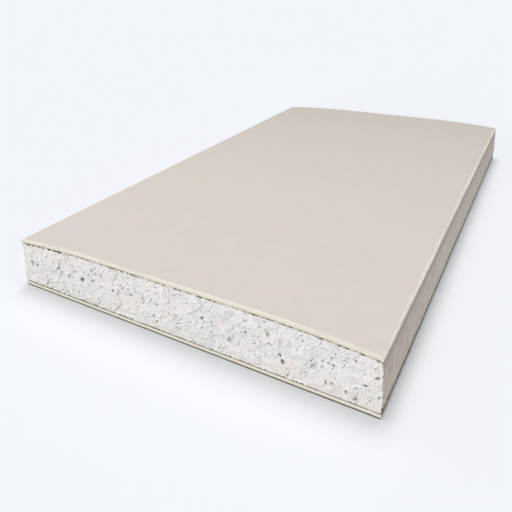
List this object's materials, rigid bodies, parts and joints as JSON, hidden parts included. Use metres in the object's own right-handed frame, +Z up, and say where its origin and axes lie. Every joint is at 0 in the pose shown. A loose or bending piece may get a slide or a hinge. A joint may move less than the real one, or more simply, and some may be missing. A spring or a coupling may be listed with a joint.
{
  "type": "drywall sheet",
  "caption": "Short cut piece of tapered-edge drywall lying flat: foamed gypsum core, face paper wrapped round both long edges, flat back paper, core bare at the cut ends.",
  "frame": {"origin": "middle of the back face, on the surface that the board lies on", "axes": "+Y along the long edges that the face paper binds, +X across the board, +Z up from the back face to the front face"},
  "size_m": [0.085, 0.141, 0.0127],
  "materials": {
    "gypsum": "broken foamed gypsum, off-white, rough and full of small air pores",
    "face_paper": "matt beige-grey liner paper, cut edge pale cream",
    "back_paper": "matt grey-tan liner paper, cut edge pale cream"
  },
  "bodies": {
    "root": {"gypsum_core": "gypsum", "face_paper": "face_paper", "back_paper": "back_paper"}
  },
  "joints": []
}
